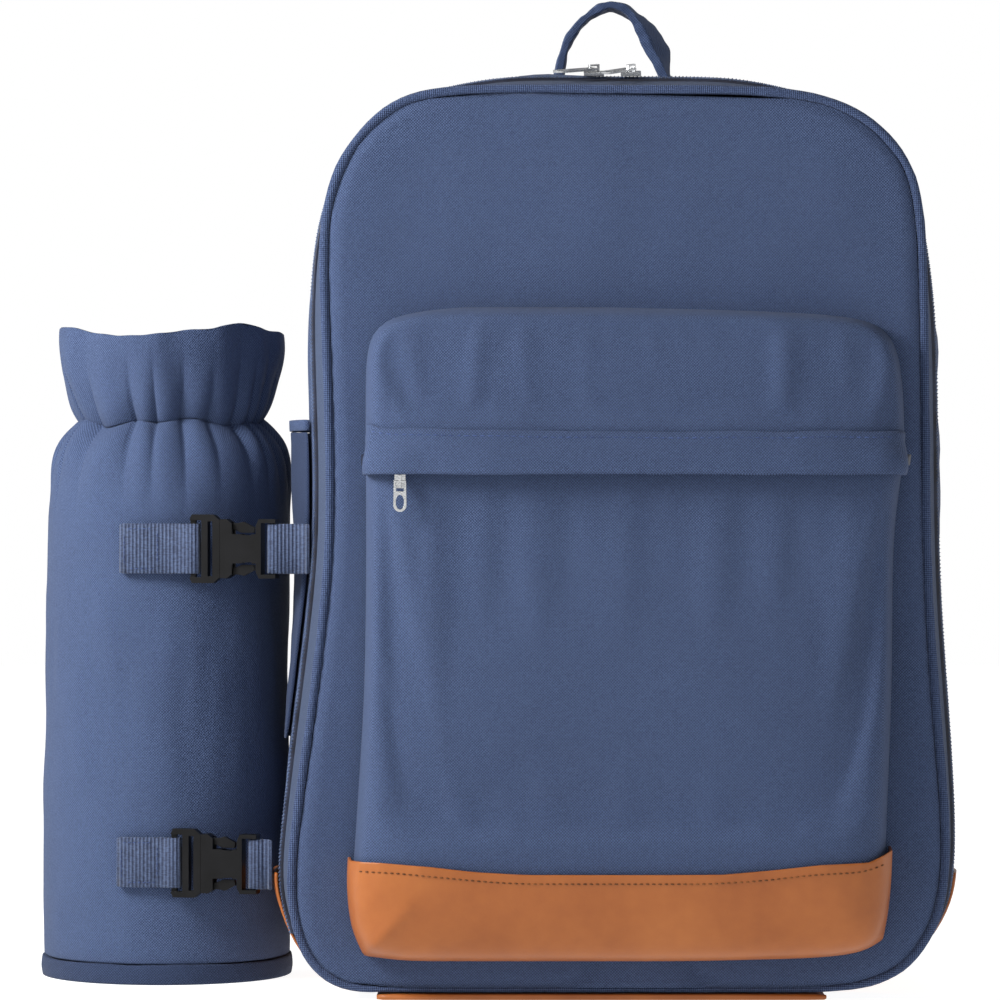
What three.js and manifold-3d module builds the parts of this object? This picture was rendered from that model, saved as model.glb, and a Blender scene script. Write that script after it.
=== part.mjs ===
import * as THREE from 'three';
import { mergeVertices } from 'three/addons/utils/BufferGeometryUtils.js';
import Module from 'manifold-3d';

// Cooler backpack with a side bottle holder, in mm, base on z = 0, front towards -Y

// Driving sizes of the pack
const panelHalfWidth = 143;
const panelHeight = 392;
const panelFoot = 6;
const panelFaceY = -76;
const panelThickness = 3;
const frontSeamY = -70.4;
const zipY = -43;
const zipWidth = 4;
const zipProud = 1.2;
const backEdgeY = 58;
const backPanelThickness = 4;
const skinBase = 3.4;
const skinBulge = 11.5;
const wall = 4;
const tapeThickness = 1.6;
const pipingRadius = 2.5;
const leather = 1.3;
const leatherStandoff = 1.3;
const leatherWrapHeight = 53;
const gap = 0.3;
const loopTurns = 56;

// Driving sizes of the front pocket
const pocketHalfWidth = 120;
const pocketHeight = 286;
const pocketFoot = 19.5;
const pocketDepth = 34;
const pocketWall = 1.8;
const pocketTurns = 44;
const pocketRoundness = 5;
const flapLow = 231;
const flapHigh = 251;
const flapThickness = 1.4;
const flapInset = 0.03;
const trimHeight = 61;

// Driving sizes of the bottle holder
const holderX = -207.5;
const holderY = 43;
const holderWall = 3;
const holderTurns = 40;
const neckHeight = 256;
const rimHeight = 297;
const holderPress = 2.6;

// Driving sizes of webbing and buckles
const webWidth = 22.6;
const webThickness = 1.5;
const upperStrapZ = 198;
const lowerStrapZ = 56;
const buckleThickness = 8;

// Driving sizes of the handle and the shoulder straps
const handleSpan = 50;
const handleRise = 34.7;
const handleY = 30;
const handleHalfWidth = 10;
const handleThickness = 5;
const padBow = 29;
const padHalfWidth = 28;
const padThickness = 10;
const lowerWebHalf = 12;
const lowerWebThickness = 1.6;

// Colours
const blue = { color: '#4d6596', roughness: 0.85, metalness: 0 };
const deepBlue = { color: '#3d5283', roughness: 0.85, metalness: 0 };
const pipingBlue = { color: '#56709f', roughness: 0.8, metalness: 0 };
const tapeBlue = { color: '#5b6f93', roughness: 0.9, metalness: 0 };
const navy = { color: '#2c3a5e', roughness: 0.85, metalness: 0 };
const tan = { color: '#b9713c', roughness: 0.5, metalness: 0 };
const dark = { color: '#23262e', roughness: 0.6, metalness: 0 };
const black = { color: '#1b1c20', roughness: 0.5, metalness: 0 };
const nickel = { color: '#b9bbbd', roughness: 0.3, metalness: 1 };

const wasm = await Module();
wasm.setup();

// Small maths helpers
function clamp(value, low, high) {
  return Math.min(high, Math.max(low, value));
}

function step(from, to, value) {
  const share = clamp((value - from) / (to - from), 0, 1);
  return share * share * (3 - 2 * share);
}

function mix(a, b, share) {
  return a + (b - a) * share;
}

// Welded copy of a geometry, without empty faces and facing outwards
function weld(geometry) {
  const bare = new THREE.BufferGeometry();
  bare.setAttribute('position', geometry.attributes.position.clone());
  if (geometry.index) {
    bare.setIndex(geometry.index.clone());
  }
  const welded = mergeVertices(bare, 1e-3);
  const at = welded.attributes.position;
  const corners = welded.index.array;
  const faces = [];
  let volume = 0;
  const a = new THREE.Vector3();
  const b = new THREE.Vector3();
  const c = new THREE.Vector3();
  for (let n = 0; n < corners.length; n += 3) {
    const [i, j, k] = [corners[n], corners[n + 1], corners[n + 2]];
    if (i !== j && j !== k && k !== i) {
      faces.push([i, j, k]);
      a.fromBufferAttribute(at, i);
      b.fromBufferAttribute(at, j);
      c.fromBufferAttribute(at, k);
      volume += a.dot(b.cross(c)) / 6;
    }
  }
  welded.setIndex(faces.map((face) => (volume < 0 ? face.slice().reverse() : face)).flat());
  welded.computeVertexNormals();
  return welded;
}

function toManifold(geometry) {
  const welded = weld(geometry);
  return new wasm.Manifold(new wasm.Mesh({
    numProp: 3,
    vertProperties: new Float32Array(welded.attributes.position.array),
    triVerts: new Uint32Array(welded.index.array),
  }));
}

function fromManifold(solid) {
  const mesh = solid.getMesh();
  const geometry = new THREE.BufferGeometry();
  geometry.setAttribute('position', new THREE.BufferAttribute(new Float32Array(mesh.vertProperties), 3));
  geometry.setIndex(Array.from(mesh.triVerts));
  return weld(geometry);
}

function cut(geometry, ...tools) {
  let solid = toManifold(geometry);
  for (const tool of tools) {
    solid = solid.subtract(toManifold(tool));
  }
  return fromManifold(solid);
}

function join(...parts) {
  let solid = toManifold(parts[0]);
  for (const part of parts.slice(1)) {
    solid = solid.add(toManifold(part));
  }
  return fromManifold(solid);
}

function keepIn(geometry, tool) {
  return fromManifold(toManifold(geometry).intersect(toManifold(tool)));
}

// Box between two corners
function boxFrom(x0, x1, y0, y1, z0, z1) {
  const box = new THREE.BoxGeometry(x1 - x0, y1 - y0, z1 - z0);
  return box.translate((x0 + x1) / 2, (y0 + y1) / 2, (z0 + z1) / 2);
}

// Solid around a closed loop: a lathe gives the net, place(turn, row) gives each corner
function loopSolid(turns, rows, place) {
  const profile = [];
  for (let k = 0; k < rows; k++) {
    profile.push(new THREE.Vector2(1 + k, k));
  }
  const geometry = new THREE.LatheGeometry(profile, turns);
  const at = geometry.attributes.position;
  for (let i = 0; i <= turns; i++) {
    for (let k = 0; k < rows; k++) {
      const [x, y, z] = place(i % turns, k);
      at.setXYZ(i * rows + k, x, y, z);
    }
  }
  return weld(geometry);
}

// Closed band round a loop from its section points, last section point joined to the first
function bandSolid(turns, section) {
  const rows = section(0).length + 1;
  return loopSolid(turns, rows, (i, k) => section(i)[k % (rows - 1)]);
}

// Box whose three shares (0 to 1) are placed by a function
function mappedBox(across, through, along, place) {
  const geometry = new THREE.BoxGeometry(1, 1, 1, across, through, along);
  geometry.translate(0.5, 0.5, 0.5);
  const at = geometry.attributes.position;
  for (let n = 0; n < at.count; n++) {
    const [x, y, z] = place(at.getX(n), at.getY(n), at.getZ(n));
    at.setXYZ(n, x, y, z);
  }
  return weld(geometry);
}

// Smooth closed loop through table rows, with more points where it turns
function smoothLoop(rows, halfWidth, height, foot, count, turnWeight) {
  const points = rows.map((row) => new THREE.Vector3(row.x * halfWidth, 0, foot + row.z * height));
  const curve = new THREE.CatmullRomCurve3(points, true, 'centripetal');
  const fine = curve.getSpacedPoints(960);
  const reach = [0];
  for (let n = 1; n < fine.length; n++) {
    const before = fine[n].clone().sub(fine[n - 1]);
    const after = fine[(n % 960) + 1].clone().sub(fine[n % 960]);
    reach.push(reach[n - 1] + before.length() + turnWeight * before.angleTo(after));
  }
  const loop = [];
  let n = 0;
  for (let i = 0; i < count; i++) {
    const wanted = (i / count) * reach[reach.length - 1];
    while (reach[n + 1] < wanted) {
      n += 1;
    }
    const share = (wanted - reach[n]) / (reach[n + 1] - reach[n]);
    const point = fine[n].clone().lerp(fine[n + 1], share);
    loop.push({ x: point.x, z: Math.max(foot, point.z) });
  }
  return loop.map((here, i) => {
    const back = loop[(i + count - 1) % count];
    const next = loop[(i + 1) % count];
    const dx = next.x - back.x;
    const dz = next.z - back.z;
    const size = Math.hypot(dx, dz);
    return { x: here.x, z: here.z, nx: dz / size, nz: -dx / size };
  });
}

// Edge of the front panel, anticlockwise from the top as seen from the front
const panelRows = [
  { x: 0, z: 1 },
  { x: -0.51, z: 0.9995 },
  { x: -0.66, z: 0.991 },
  { x: -0.748, z: 0.969 },
  { x: -0.822, z: 0.939 },
  { x: -0.864, z: 0.908 },
  { x: -0.889, z: 0.878 },
  { x: -0.901, z: 0.837 },
  { x: -0.892, z: 0.74 },
  { x: -0.878, z: 0.568 },
  { x: -0.883, z: 0.478 },
  { x: -0.908, z: 0.39 },
  { x: -0.938, z: 0.301 },
  { x: -0.969, z: 0.224 },
  { x: -0.997, z: 0.145 },
  { x: -1.003, z: 0.111 },
  { x: -0.987, z: 0.067 },
  { x: -0.948, z: 0.032 },
  { x: -0.864, z: 0.006 },
  { x: -0.78, z: 0 },
  { x: -0.7, z: 0 },
  { x: 0, z: 0 },
  { x: 0.6, z: 0 },
  { x: 0.66, z: 0 },
  { x: 0.738, z: 0.008 },
  { x: 0.828, z: 0.018 },
  { x: 0.901, z: 0.043 },
  { x: 0.954, z: 0.078 },
  { x: 0.976, z: 0.119 },
  { x: 0.976, z: 0.192 },
  { x: 0.966, z: 0.232 },
  { x: 0.945, z: 0.326 },
  { x: 0.922, z: 0.458 },
  { x: 0.913, z: 0.681 },
  { x: 0.905, z: 0.833 },
  { x: 0.895, z: 0.879 },
  { x: 0.871, z: 0.916 },
  { x: 0.809, z: 0.948 },
  { x: 0.714, z: 0.976 },
  { x: 0.618, z: 0.99 },
  { x: 0.46, z: 0.998 },
];
const panelLoop = smoothLoop(panelRows, panelHalfWidth, panelHeight, panelFoot, loopTurns, 26);
for (const point of panelLoop) {
  if (point.z <= panelFoot + 0.01) {
    point.nx = 0;
    point.nz = -1;
  }
}

// How far the side skin stands outside the panel edge at a loop point and depth
function skinOffset(i, y) {
  const { x, z } = panelLoop[i];
  const sideRun = Math.abs(x) > 90 ? 1 : 0;
  const lower = step(panelFoot, 45, z) * mix(0.8, 1, step(75, 120, z));
  const side = sideRun * lower * (1 - step(290, 375, z));
  const top = z > 380 ? 1 - step(45, 100, Math.abs(x)) : 0;
  const share = (y - frontSeamY) / (backEdgeY - frontSeamY);
  const rise = Math.sin(Math.PI * 0.86 * clamp(share, 0, 1));
  const pressed = 1 - 0.85 * step(-12, 24, y) * (1 - step(75, 150, z));
  return skinBase + skinBulge * rise * Math.max(side * pressed, top);
}

function skinPoint(i, y, extra) {
  const point = panelLoop[i];
  const offset = skinOffset(i, y) + extra;
  return [point.x + point.nx * offset, y, point.z + point.nz * offset];
}

function edgePoint(i, y, offset) {
  const point = panelLoop[i];
  return [point.x + point.nx * offset, y, point.z + point.nz * offset];
}

// Band of the side skin between two depths, between two heights above the skin
function skinBand(y0, y1, steps, inner, outer) {
  return bandSolid(loopTurns, (i) => {
    const section = [];
    for (let n = 0; n <= steps; n++) {
      section.push(skinPoint(i, mix(y0, y1, n / steps), outer));
    }
    for (let n = steps; n >= 0; n--) {
      section.push(skinPoint(i, mix(y0, y1, n / steps), inner));
    }
    return section;
  });
}

// Share of the bottom run, where the piping is pressed thin over the leather
function bottomRun(i) {
  const { x, z } = panelLoop[i];
  const low = 1 - step(panelFoot + 0.5, panelFoot + 4, z);
  return low * step(-122, -111, x) * (1 - step(92, 104, x));
}

// Tube round the loop
function loopTube(sides, centre, radius, y) {
  return bandSolid(loopTurns, (i) => {
    const section = [];
    for (let n = 0; n < sides; n++) {
      const turn = ((n + 0.5) / sides) * Math.PI * 2;
      section.push(edgePoint(i, y + radius(i) * Math.sin(turn), centre(i) + radius(i) * Math.cos(turn)));
    }
    return section;
  });
}

// Flat-backed panel from table rows of reach (mm inside the edge) and depth (mm behind the face)
function panelSolid(centreZ, rows, offset) {
  return loopSolid(loopTurns, rows.length, (i, k) => {
    const row = rows[k];
    const edge = edgePoint(i, row.y, offset(i) - row.inset);
    if (row.middle) {
      return [0, row.y, centreZ];
    }
    if (row.share) {
      return [edge[0] * row.share, row.y, mix(centreZ, edge[2], row.share)];
    }
    return edge;
  });
}

const root = new THREE.Group();
root.name = 'cooler_backpack';

function addMesh(name, geometry, look) {
  const mesh = new THREE.Mesh(geometry, new THREE.MeshStandardMaterial(look));
  mesh.name = name;
  root.add(mesh);
  return mesh;
}

// Rear gusset, the padded wall round the insulated room
const rearFrontY = zipY + zipWidth / 2 + gap;
addMesh('rear_gusset', skinBand(rearFrontY, backEdgeY, 5, -wall, 0), blue);

// Tape and strip between the front piping and the zip
const tapeBackY = zipY - zipWidth / 2 - gap;
addMesh('front_zip_tape', skinBand(frontSeamY, tapeBackY, 2, -tapeThickness, 0), tapeBlue);

// Zip chain up one side, over the top and down the other
const chainFoot = 26;
const chainRing = skinBand(zipY - zipWidth / 2, zipY + zipWidth / 2, 1, -0.8, zipProud);
addMesh('zip_chain', cut(chainRing, boxFrom(-400, 400, -400, 400, -400, chainFoot)), dark);

// Front piping
const frontPipeCentre = (i) => mix(2.9, 1.7, bottomRun(i));
const frontPipeRadius = (i) => mix(pipingRadius, 1.4, bottomRun(i));
addMesh('front_piping', loopTube(6, frontPipeCentre, frontPipeRadius, -73.3), pipingBlue);

// Front panel
const panelMiddleZ = 190;
addMesh('front_panel', panelSolid(panelMiddleZ, [
  { y: panelFaceY, middle: true },
  { y: panelFaceY, inset: 4 },
  { y: panelFaceY + 1.1, inset: 0.9 },
  { y: panelFaceY + panelThickness, inset: 0 },
  { y: panelFaceY + panelThickness, inset: 0, middle: true },
], () => 0), blue);

// Back panel, padded, with its piping
const backSkin = (i) => skinOffset(i, backEdgeY);
addMesh('back_panel', panelSolid(panelMiddleZ, [
  { y: backEdgeY + gap, middle: true },
  { y: backEdgeY + gap, inset: 4.95 },
  { y: backEdgeY + gap + backPanelThickness, inset: 5.5 },
  { y: backEdgeY + gap + backPanelThickness + 1.6, inset: 24, share: 0.86 },
  { y: backEdgeY + gap + backPanelThickness + 1.6, inset: 0, middle: true },
], backSkin), deepBlue);
addMesh('back_piping', loopTube(5, (i) => backSkin(i) - 2.5, () => pipingRadius, 61.2), pipingBlue);

// Tan base that wraps up the sides, with a rolled hem under the front piping
const baseBand = skinBand(rearFrontY, backEdgeY, 5, leatherStandoff, leatherStandoff + leather);
const baseRear = keepIn(baseBand, boxFrom(-400, 400, -400, 400, -1, leatherWrapHeight));
const underBand = skinBand(-70.8, rearFrontY, 1, leatherStandoff, leatherStandoff + leather);
const baseUnder = keepIn(underBand, boxFrom(-108, 90, -400, 400, -1, panelFoot));
const hem = boxFrom(-108, 90, -77.2, -70.6, 0, 2.5);
addMesh('base_panel', join(baseRear, baseUnder, hem), tan);

// Front pocket outline, anticlockwise from the top as seen from the front
const pocketRows = [
  { x: 0, z: 0.998 },
  { x: -0.473, z: 1 },
  { x: -0.68, z: 0.998 },
  { x: -0.84, z: 0.987 },
  { x: -0.925, z: 0.962 },
  { x: -0.945, z: 0.925 },
  { x: -0.945, z: 0.861 },
  { x: -0.943, z: 0.58 },
  { x: -0.95, z: 0.4 },
  { x: -0.967, z: 0.279 },
  { x: -0.985, z: 0.16 },
  { x: -0.994, z: 0.111 },
  { x: -0.98, z: 0.042 },
  { x: -0.942, z: 0.009 },
  { x: -0.88, z: 0 },
  { x: 0.53, z: 0.003 },
  { x: 0.87, z: 0.011 },
  { x: 0.93, z: 0.024 },
  { x: 0.955, z: 0.047 },
  { x: 0.969, z: 0.184 },
  { x: 0.99, z: 0.402 },
  { x: 1.005, z: 0.69 },
  { x: 1.035, z: 0.74 },
  { x: 1.036, z: 0.872 },
  { x: 1.03, z: 0.9 },
  { x: 1.005, z: 0.948 },
  { x: 0.948, z: 0.974 },
  { x: 0.855, z: 0.986 },
  { x: 0.69, z: 0.992 },
];
const pocketLoop = smoothLoop(pocketRows, pocketHalfWidth, pocketHeight, pocketFoot, pocketTurns, 22);
const pocketMiddle = { x: 4, z: 160 };
const pocketRimY = panelFaceY - gap;

// Main creases and puffs of the pocket face: place, half sizes and lift in mm
const pocketFolds = [
  { x: -96, z: 286, wide: 22, high: 22, lift: -7 },
  { x: 106, z: 284, wide: 24, high: 24, lift: -7 },
  { x: -22, z: 214, wide: 7, high: 34, lift: -2.5 },
  { x: 14, z: 212, wide: 8, high: 30, lift: -2 },
  { x: -70, z: 84, wide: 44, high: 9, lift: -2.5 },
  { x: 60, z: 150, wide: 60, high: 60, lift: 3 },
  { x: -50, z: 150, wide: 50, high: 60, lift: 2 },
];

function pocketLift(x, z) {
  const taper = mix(0.86, 1.08, 1 - step(60, 300, z));
  let lift = pocketDepth * taper;
  for (const fold of pocketFolds) {
    const away = ((x - fold.x) / fold.wide) ** 2 + ((z - fold.z) / fold.high) ** 2;
    lift += fold.lift * Math.exp(-away);
  }
  return lift;
}

// Pocket skin at a loop turn and a share round the edge (0 at the middle, 1 at the rim)
function pocketPoint(i, share, inward) {
  const turn = (share * Math.PI) / 2;
  const reach = Math.sin(turn) ** (2 / pocketRoundness);
  const rise = Math.max(0, Math.cos(turn)) ** (2 / pocketRoundness);
  const edge = pocketLoop[i];
  const size = Math.hypot(edge.x - pocketMiddle.x, edge.z - pocketMiddle.z);
  const held = reach * (1 - inward / size);
  const x = mix(pocketMiddle.x, edge.x, held);
  const z = mix(pocketMiddle.z, edge.z, held);
  const lift = share > 0.999 ? 0 : Math.max(0, pocketLift(x, z) * rise - inward);
  return [x, pocketRimY - lift, z];
}

const pocketShares = [0, 0.04, 0.16, 0.34, 0.52, 0.7, 0.86, 1];
const innerShares = [1, 0.86, 0.6, 0.34, 0.1, 0];
const pocketRowCount = pocketShares.length + innerShares.length;
addMesh('pocket_shell', loopSolid(pocketTurns, pocketRowCount, (i, k) => {
  if (k < pocketShares.length) {
    return pocketPoint(i, pocketShares[k], 0);
  }
  return pocketPoint(i, innerShares[k - pocketShares.length], pocketWall);
}), blue);

// Place and outward direction of the pocket face at a share across and a height
function pocketSection(z) {
  let left = 1e6;
  let right = -1e6;
  pocketLoop.forEach((here, i) => {
    const next = pocketLoop[(i + 1) % pocketTurns];
    if ((here.z - z) * (next.z - z) <= 0 && here.z !== next.z) {
      const x = mix(here.x, next.x, (z - here.z) / (next.z - here.z));
      left = Math.min(left, x);
      right = Math.max(right, x);
    }
  });
  return { left, right };
}

function pocketShareAt(x, z) {
  const px = x - pocketMiddle.x;
  const pz = z - pocketMiddle.z;
  let found = 0;
  pocketLoop.forEach((here, i) => {
    const next = pocketLoop[(i + 1) % pocketTurns];
    const ax = here.x - pocketMiddle.x;
    const az = here.z - pocketMiddle.z;
    const bx = next.x - pocketMiddle.x;
    const bz = next.z - pocketMiddle.z;
    const area = ax * bz - az * bx;
    const s = (px * bz - pz * bx) / area;
    const t = (ax * pz - az * px) / area;
    if (s >= -1e-6 && t >= -1e-6) {
      found = Math.max(found, s + t);
    }
  });
  return found;
}

function pocketFrontY(x, z) {
  const reach = clamp(pocketShareAt(x, z), 0, 1);
  return pocketRimY - pocketLift(x, z) * (1 - reach ** pocketRoundness) ** (1 / pocketRoundness);
}

function pocketFace(across, z) {
  const { left, right } = pocketSection(z);
  const half = (right - left) / 2;
  const turn = across * Math.PI;
  const swing = Math.sign(Math.cos(turn)) * Math.abs(Math.cos(turn)) ** (2 / pocketRoundness);
  const x = (left + right) / 2 - half * swing;
  const atRim = across < 0.001 || across > 0.999;
  return new THREE.Vector3(x, atRim ? pocketRimY : pocketFrontY(x, z), z);
}

function pocketFacePoint(across, z, lift) {
  const here = pocketFace(across, z);
  const side = clamp(across, 0.02, 0.98);
  const along = pocketFace(side + 0.02, z).sub(pocketFace(side - 0.02, z));
  const normal = new THREE.Vector3(along.y, -along.x, 0).normalize();
  return [here.x + normal.x * lift, Math.min(here.y + normal.y * lift, pocketRimY), here.z];
}

// Zip strip of the pocket, under the flap
addMesh('pocket_zip', mappedBox(20, 1, 1, (a, t, h) => {
  const lift = mix(0.9, 2.1, t);
  return pocketFacePoint(mix(0.06, 0.94, a), mix(235, 240, h), lift);
}), dark);

// Flap that covers the zip, sewn along its top and standing off along its lower edge
addMesh('pocket_flap', mappedBox(28, 1, 3, (a, t, h) => {
  const wave = 0.9 * Math.sin(a * 17) + 0.6 * Math.sin(a * 31 + 1);
  const top = flapHigh + 2.2 * (1 - step(0.05, 0.16, a)) - 1.2 * step(0.3, 0.5, a);
  const z = mix(flapLow, top, h);
  const inset = step(0, 0.09, a) * (1 - step(0.91, 1, a));
  const stand = mix(1 + (4.9 + wave * 0.4) * inset, 1, step(0.35, 1, h));
  return pocketFacePoint(mix(flapInset, 1 - flapInset, a), z, stand + flapThickness * t);
}), blue);

// Leather trim over the lower part of the pocket, with a small raised tab at the right
function pocketSkin(near, far) {
  const skin = (i, k) => pocketPoint(i, pocketShares[k], 0);
  const outer = weld(loopSolid(pocketTurns, pocketShares.length, skin));
  const at = outer.attributes.position;
  const normals = outer.attributes.normal;
  const facing = new Map();
  for (let n = 0; n < at.count; n++) {
    const key = [at.getX(n), at.getY(n), at.getZ(n)].map((v) => v.toFixed(2)).join(' ');
    facing.set(key, new THREE.Vector3().fromBufferAttribute(normals, n));
  }
  const middle = facing.get(pocketPoint(0, 0, 0).map((v) => v.toFixed(2)).join(' '));
  const flip = middle.y > 0 ? -1 : 1;
  const shifted = (i, k, lift) => {
    const place = pocketPoint(i, pocketShares[k], 0);
    const normal = facing.get(place.map((v) => v.toFixed(2)).join(' ')).clone();
    if (k === pocketShares.length - 1) {
      normal.y = 0;
      normal.normalize();
    }
    return place.map((v, axis) => v + flip * lift * normal.getComponent(axis));
  };
  const last = pocketShares.length - 1;
  return loopSolid(pocketTurns, pocketShares.length * 2, (i, k) => {
    if (k <= last) {
      return shifted(i, k, far);
    }
    return shifted(i, 2 * last + 1 - k, near);
  });
}

const trimCut = mappedBox(16, 1, 1, (a, t, h) => {
  const x = mix(-170, 170, a);
  const edge = trimHeight - 3 + 5 * step(40, 104, Math.abs(x + 4)) + 9 * step(108, 122, x);
  return [x, mix(-200, 0, t), mix(-20, edge, h)];
});
addMesh('pocket_trim', keepIn(pocketSkin(0.9, 0.9 + leather), trimCut), tan);

// Slider with an arch for its puller, built flat: x along the zip, y across, z up
const archLength = 5.6;
const archHeight = 3.2;
const pivotHeight = 1.2;
function sliderBody(body, height, archTurn) {
  const outer = boxFrom(-archLength / 2, archLength / 2, -0.7, 0.7, height - 0.4, height + archHeight);
  const inner = boxFrom(-archLength / 2 + 0.8, archLength / 2 - 0.8, -2, 2, height, height + 2.4);
  return join(body, cut(outer, inner).rotateZ(archTurn));
}

// Puller plate along x with its cross bar on the pivot, a window past it and an eye near the tip
function pullerPlate(length, headWidth, tailWidth, eye) {
  const shape = new THREE.Shape();
  shape.moveTo(-0.5, -headWidth / 2);
  shape.lineTo(length - tailWidth / 2, -tailWidth / 2);
  shape.absarc(length - tailWidth / 2, 0, tailWidth / 2, -Math.PI / 2, Math.PI / 2, false);
  shape.lineTo(-0.5, headWidth / 2);
  shape.closePath();
  const window = new THREE.Path();
  window.moveTo(0.5, 0.9 - headWidth / 2);
  window.lineTo(0.6, headWidth / 2 - 1);
  window.lineTo(4.2, headWidth / 2 - 1.1);
  window.lineTo(4.1, 1.2 - headWidth / 2);
  window.closePath();
  shape.holes.push(window);
  const hole = new THREE.Path();
  hole.absellipse(length - eye.long - 1.1, 0, eye.long, eye.wide, 0, Math.PI * 2, true);
  shape.holes.push(hole);
  const plate = new THREE.ExtrudeGeometry(shape, { depth: 1, bevelEnabled: false, curveSegments: 5 });
  return plate.translate(0, 0, -0.5);
}

// Top sliders on the zip, pullers swung to the left and lowered to the front
const topChainZ = panelFoot + panelHeight + skinOffset(0, zipY) + zipProud;
const topTilt = 0.2;
const topSliders = [
  { name: 'left', x: -11.7, swing: 0.62 },
  { name: 'right', x: 4.8, swing: 0.95 },
];
for (const slider of topSliders) {
  const place = (geometry) => geometry.rotateX(topTilt).translate(slider.x, zipY, topChainZ + 1);
  const body = sliderBody(boxFrom(-4.5, 4.5, -3.5, 3.5, 0, 1.8), 1.8, slider.swing);
  addMesh(`top_slider_${slider.name}`, place(body), nickel);
  const puller = pullerPlate(22, 5.4, 6, { long: 3.4, wide: 1.9 });
  puller.rotateZ(Math.PI + slider.swing).translate(0, 0, 1.8 + pivotHeight);
  addMesh(`top_puller_${slider.name}`, place(puller), nickel);
}

// Pocket slider under the flap, its puller hanging below the edge
const pocketPull = { x: -97, z: 228, length: 13.2 };
const pullBackY = [224, 228, 232, 236, 240].map((z) => pocketFrontY(pocketPull.x + 3, z));
const pocketPullY = Math.min(...pullBackY) - 2.6;
const pocketBody = sliderBody(boxFrom(-2.4, 2.4, -3, 7.4, 0, 1.2), 1.2, Math.PI / 2);
pocketBody.rotateX(Math.PI / 2).translate(pocketPull.x, pocketPullY, pocketPull.z);
addMesh('pocket_slider', pocketBody, nickel);
const hanging = pullerPlate(pocketPull.length, 5.4, 5.8, { long: 3.2, wide: 1.8 });
hanging.rotateZ(-Math.PI / 2).translate(0, 0, 1.2 + pivotHeight).rotateX(Math.PI / 2);
hanging.translate(pocketPull.x, pocketPullY, pocketPull.z);
addMesh('pocket_puller', hanging, nickel);

// Side skin of the pack at a depth and height, on the left (-1) or right (1)
function sideX(y, z, side) {
  let found = 0;
  for (let i = 0; i < loopTurns; i++) {
    const here = skinPoint(i, y, 0);
    const next = skinPoint((i + 1) % loopTurns, y, 0);
    if ((here[2] - z) * (next[2] - z) <= 0 && here[2] !== next[2]) {
      const x = mix(here[0], next[0], (z - here[2]) / (next[2] - here[2]));
      found = Math.max(found, x * side);
    }
  }
  return found * side;
}

// Open pocket on the left side, puffed at its mouth, with a hem
const sidePocket = { front: -25, back: 46, low: 112, high: 251, puff: 6.5 };
function sidePocketOffset(a, h) {
  return 0.9 + sidePocket.puff * Math.sin(Math.PI * a) ** 0.8 * step(0, 1, h);
}
addMesh('side_pocket', mappedBox(8, 1, 6, (a, t, h) => {
  const y = mix(sidePocket.front, sidePocket.back, a);
  const z = mix(sidePocket.low, sidePocket.high, h);
  return [sideX(y, z, -1) - sidePocketOffset(a, h) - 1.6 * t, y, z];
}), navy);
addMesh('side_pocket_hem', mappedBox(8, 1, 1, (a, t, h) => {
  const y = mix(sidePocket.front, sidePocket.back, a);
  const z = mix(sidePocket.high + gap, sidePocket.high + 5.3, h);
  return [sideX(y, z, -1) - sidePocketOffset(a, 1) + 0.3 - 2.4 * t, y, z];
}), blue);

// Bottle holder profile from the binding to the neck, and the ruffled collar above
const holderRows = [
  { z: 9.4, r: 58.6 },
  { z: 50, r: 59.3 },
  { z: 110, r: 58.2 },
  { z: 190, r: 57.3 },
  { z: 228, r: 56.4 },
  { z: 241, r: 54 },
  { z: 249, r: 49.5 },
  { z: neckHeight, r: 42 },
];
const collarRows = [
  { z: neckHeight + 0.5, r: 41.6 },
  { z: 263, r: 46 },
  { z: 276, r: 49.6 },
  { z: 289, r: 52 },
  { z: rimHeight, r: 51.5 },
];

function holderPoint(i, z, r) {
  const a = (i / holderTurns) * Math.PI * 2;
  const gather = 0.028 * step(222, 250, z) * (1 - 0.55 * step(262, 290, z));
  const press = holderPress * Math.max(0, Math.cos(a)) ** 6 * (1 - step(150, 235, z));
  const radius = r * (1 + gather * Math.cos(12 * a + 0.6)) - press;
  return [holderX + radius * Math.cos(a), holderY + radius * Math.sin(a), z];
}

addMesh('holder_wall', bandSolid(holderTurns, (i) => {
  const outer = holderRows.map((row) => holderPoint(i, row.z, row.r));
  const inner = [7, 6, 4, 2, 0].map((n) => holderPoint(i, holderRows[n].z, holderRows[n].r - holderWall));
  return outer.concat(inner);
}), blue);

function collarPoint(i, row, inset) {
  const a = (i / holderTurns) * Math.PI * 2;
  const rise = step(neckHeight, rimHeight, row.z);
  const curl = Math.exp(-(((a - 5.55) / 0.26) ** 2));
  const wave = 1.4 * Math.cos(3 * a + 2.2) + 1.1 * Math.cos(5 * a + 0.4);
  const [x, y, z] = holderPoint(i, row.z, row.r - inset + rise * (1.2 * Math.cos(7 * a) - 3 * curl));
  return [x, y, z + rise * (wave + 5 * curl)];
}
addMesh('holder_collar', bandSolid(holderTurns, (i) => {
  const outer = collarRows.map((row) => collarPoint(i, row, 0));
  const inner = [4, 2, 1, 0].map((n) => collarPoint(i, collarRows[n], 1.8));
  return outer.concat(inner);
}), blue);

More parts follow.
